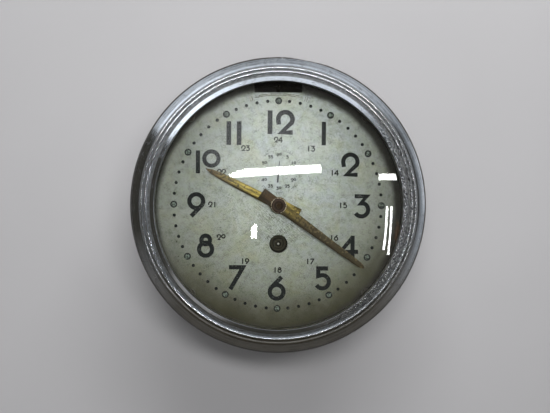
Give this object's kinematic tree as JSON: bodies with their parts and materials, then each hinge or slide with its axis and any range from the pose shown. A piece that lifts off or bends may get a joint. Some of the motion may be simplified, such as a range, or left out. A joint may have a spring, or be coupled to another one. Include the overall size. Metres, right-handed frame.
{
  "type": "ship clock",
  "caption": "Round bulkhead ship clock with hinged glazed bezel, silvered dial with hour, 24-hour and seconds rings, and a key-wound lever movement.",
  "frame": {"origin": "centre of the flat case back, the face that goes against the bulkhead", "axes": "+Z out of the dial, +Y towards twelve o'clock, +X towards three o'clock; the clock lies on its back"},
  "size_m": [0.152, 0.152, 0.0589],
  "materials": {
    "case_lacquer": "brown-black lacquer, worn",
    "rubber": "aged rubber",
    "dial_silver": "silvered plate, matt, aged with stains",
    "plated_bezel": "worn nickel plate",
    "clear_glass": "clear domed glass",
    "hand_gilt": "gilt, tarnished brown",
    "hand_blue": "blued steel, nearly black",
    "nut_brown": "brown oxidised brass",
    "plate_brass": "brushed brass",
    "train_steel": "polished steel",
    "blued_steel": "blued steel",
    "dark_screw": "darkened steel",
    "ruby": "red bearing jewel"
  },
  "bodies": {
    "case": {"case_body": "case_lacquer", "case_gasket": "rubber", "dial_seat_ring": "train_steel", "hinge_case_leaf": "plate_brass", "hinge_leaf_rivets": "dark_screw", "hinge_pin": "dark_screw", "catch_spring": "blued_steel", "catch_rivets": "dark_screw", "dial": "dial_silver", "dial_screws": "dark_screw", "dial_feet": "plate_brass", "dial_foot_screws": "blued_steel", "back_plate": "plate_brass", "front_plate": "plate_brass", "pillars": "plate_brass", "pillar_screws": "blued_steel", "balance_cock": "plate_brass", "balance_cock_screws": "blued_steel", "balance_jewels": "ruby", "banking_pins": "train_steel", "hairspring": "blued_steel", "hairspring_stud": "train_steel", "minute_wheel_post": "train_steel", "click_spring": "blued_steel", "click_spring_screw": "blued_steel", "click_screw": "blued_steel"},
    "bezel_door": {"bezel": "plated_bezel", "glass": "clear_glass", "glass_ring": "plated_bezel", "hinge_bezel_leaf": "plate_brass"},
    "hour_group": {"hour_wheel": "plate_brass", "hour_hand": "hand_gilt"},
    "minute_group": {"cannon_pinion": "train_steel", "minute_hand": "hand_gilt", "hand_nut": "nut_brown"},
    "minute_wheel_group": {"minute_wheel": "plate_brass"},
    "barrel_group": {"barrel": "plate_brass", "barrel_cap": "plate_brass", "mainspring": "blued_steel"},
    "winding_group": {"winding_arbor": "train_steel", "ratchet_wheel": "train_steel", "ratchet_washer": "train_steel"},
    "click_lever": {"click": "train_steel"},
    "intermediate_group": {"intermediate_wheel": "plate_brass", "intermediate_arbor": "train_steel"},
    "centre_group": {"centre_wheel": "plate_brass", "centre_arbor": "train_steel", "centre_friction_spring": "blued_steel"},
    "third_group": {"third_wheel": "plate_brass", "third_arbor": "train_steel"},
    "seconds_group": {"fourth_wheel": "plate_brass", "fourth_arbor": "train_steel", "seconds_hand": "hand_blue"},
    "escape_group": {"escape_wheel": "plate_brass", "escape_arbor": "train_steel"},
    "lever_group": {"pallet_lever": "train_steel"},
    "balance_group": {"balance_wheel": "plate_brass", "balance_screws": "plate_brass", "balance_staff": "train_steel"},
    "regulator": {"regulator_index": "train_steel"}
  },
  "joints": [
    {"name": "seconds_turn", "type": "hinge", "parent": "case", "child": "seconds_group", "pos_m": [0, 0.017, 0.02], "axis": [0, 0, 1], "continuous": true},
    {"name": "escape_turn", "type": "hinge", "parent": "case", "child": "escape_group", "pos_m": [0.00876, 0.02503, 0.02], "axis": [0, 0, 1], "continuous": true},
    {"name": "third_turn", "type": "hinge", "parent": "case", "child": "third_group", "pos_m": [-0.01299, 0.00891, 0.02], "axis": [0, 0, 1], "continuous": true},
    {"name": "centre_turn", "type": "hinge", "parent": "case", "child": "centre_group", "pos_m": [0, 0, 0.02], "axis": [0, 0, 1], "continuous": true},
    {"name": "intermediate_turn", "type": "hinge", "parent": "case", "child": "intermediate_group", "pos_m": [0.01434, -0.00701, 0.02], "axis": [0, 0, 1], "continuous": true},
    {"name": "barrel_turn", "type": "hinge", "parent": "case", "child": "barrel_group", "pos_m": [0, -0.02, 0.018], "axis": [0, 0, 1], "continuous": true},
    {"name": "minute_turn", "type": "hinge", "parent": "case", "child": "minute_group", "pos_m": [0, 0, 0.04], "axis": [0, 0, 1], "continuous": true},
    {"name": "minute_wheel_turn", "type": "hinge", "parent": "case", "child": "minute_wheel_group", "pos_m": [0.0096, 0, 0.035], "axis": [0, 0, 1], "continuous": true},
    {"name": "hour_turn", "type": "hinge", "parent": "case", "child": "hour_group", "pos_m": [0, 0, 0.038], "axis": [0, 0, 1], "continuous": true},
    {"name": "winding_turn", "type": "hinge", "parent": "case", "child": "winding_group", "pos_m": [0, -0.02, 0.03], "axis": [0, 0, 1], "continuous": true},
    {"name": "click_pivot", "type": "hinge", "parent": "case", "child": "click_lever", "pos_m": [-0.01024, -0.02717, 0.033], "axis": [0, 0, 1], "range_deg": [-5.5, 2], "stiffness_Nm_per_rad": 0.002},
    {"name": "lever_pivot", "type": "hinge", "parent": "case", "child": "lever_group", "pos_m": [0.00511, 0.03158, 0.014], "axis": [0, 0, 1], "range_deg": [-6, 6]},
    {"name": "balance_swing", "type": "hinge", "parent": "case", "child": "balance_group", "pos_m": [0, 0.04076, 0.024], "axis": [0, 0, 1], "range_deg": [-270, 270], "stiffness_Nm_per_rad": 0.000019},
    {"name": "regulator_pivot", "type": "hinge", "parent": "case", "child": "regulator", "pos_m": [0, 0.04076, 0.035], "axis": [0, 0, 1], "range_deg": [-20, 20]},
    {"name": "bezel_hinge", "type": "hinge", "parent": "case", "child": "bezel_door", "pos_m": [0.01401, 0.07209, 0.0399], "axis": [-0.9816, 0.1908, 0], "range_deg": [0, 105]}
  ],
  "couplings": [
    {"joint": "escape_turn", "follows": "seconds_turn", "ratio": -10},
    {"joint": "third_turn", "follows": "seconds_turn", "ratio": -0.13333},
    {"joint": "centre_turn", "follows": "seconds_turn", "ratio": 0.016667},
    {"joint": "intermediate_turn", "follows": "seconds_turn", "ratio": -0.0027778},
    {"joint": "barrel_turn", "follows": "seconds_turn", "ratio": 0.00034722},
    {"joint": "minute_turn", "follows": "seconds_turn", "ratio": 0.016667},
    {"joint": "minute_wheel_turn", "follows": "seconds_turn", "ratio": -0.0055556},
    {"joint": "hour_turn", "follows": "seconds_turn", "ratio": 0.0013889}
  ]
}
